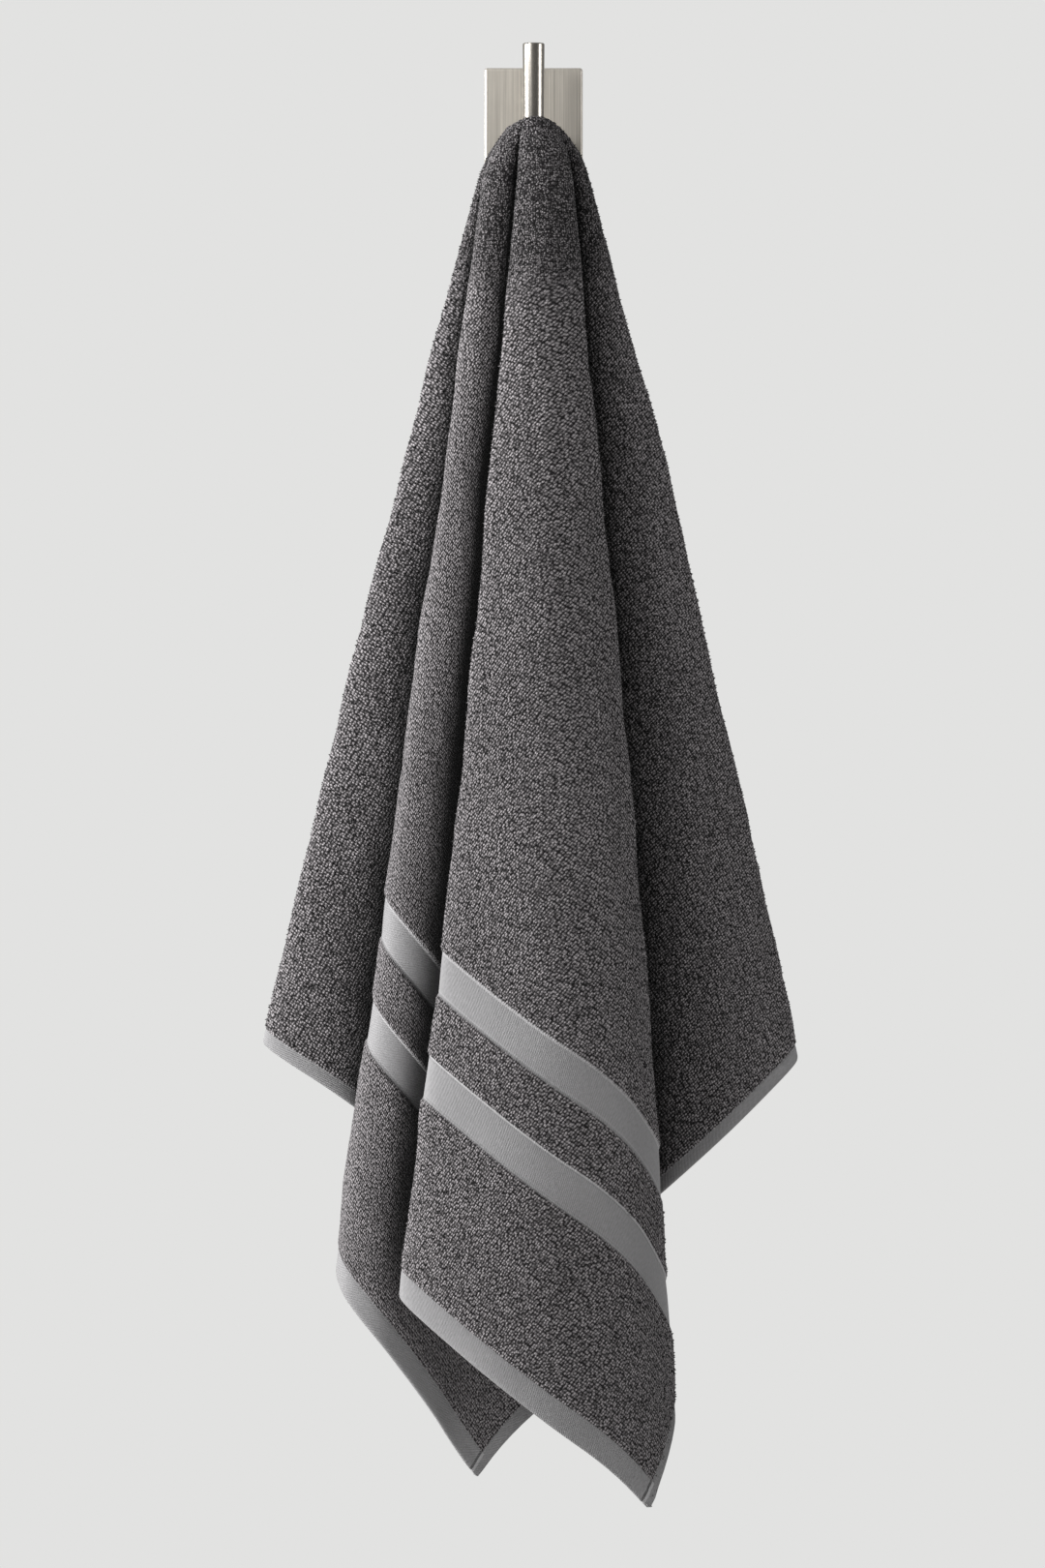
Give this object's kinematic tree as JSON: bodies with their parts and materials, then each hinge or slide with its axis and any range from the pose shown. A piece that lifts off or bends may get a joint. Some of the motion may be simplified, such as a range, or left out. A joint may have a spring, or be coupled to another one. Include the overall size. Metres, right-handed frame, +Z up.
{
  "type": "bath towel on a wall hook",
  "caption": "Terry bath towel with flat-woven end bands, gathered round the upright pin of a square brushed steel wall hook and hanging in long folds.",
  "frame": {"origin": "centre of the wall plate's back face, on the wall", "axes": "+Z up, +Y into the wall, +X to the right as the viewer faces the wall"},
  "size_m": [0.3599, 0.1613, 0.9584],
  "materials": {
    "terry": "cotton terry with flat-woven bands",
    "steel": "fine straight brushing, satin"
  },
  "bodies": {
    "root": {"towel": "terry", "hook_plate": "steel", "hook_stem": "steel", "hook_post": "steel"}
  },
  "joints": []
}
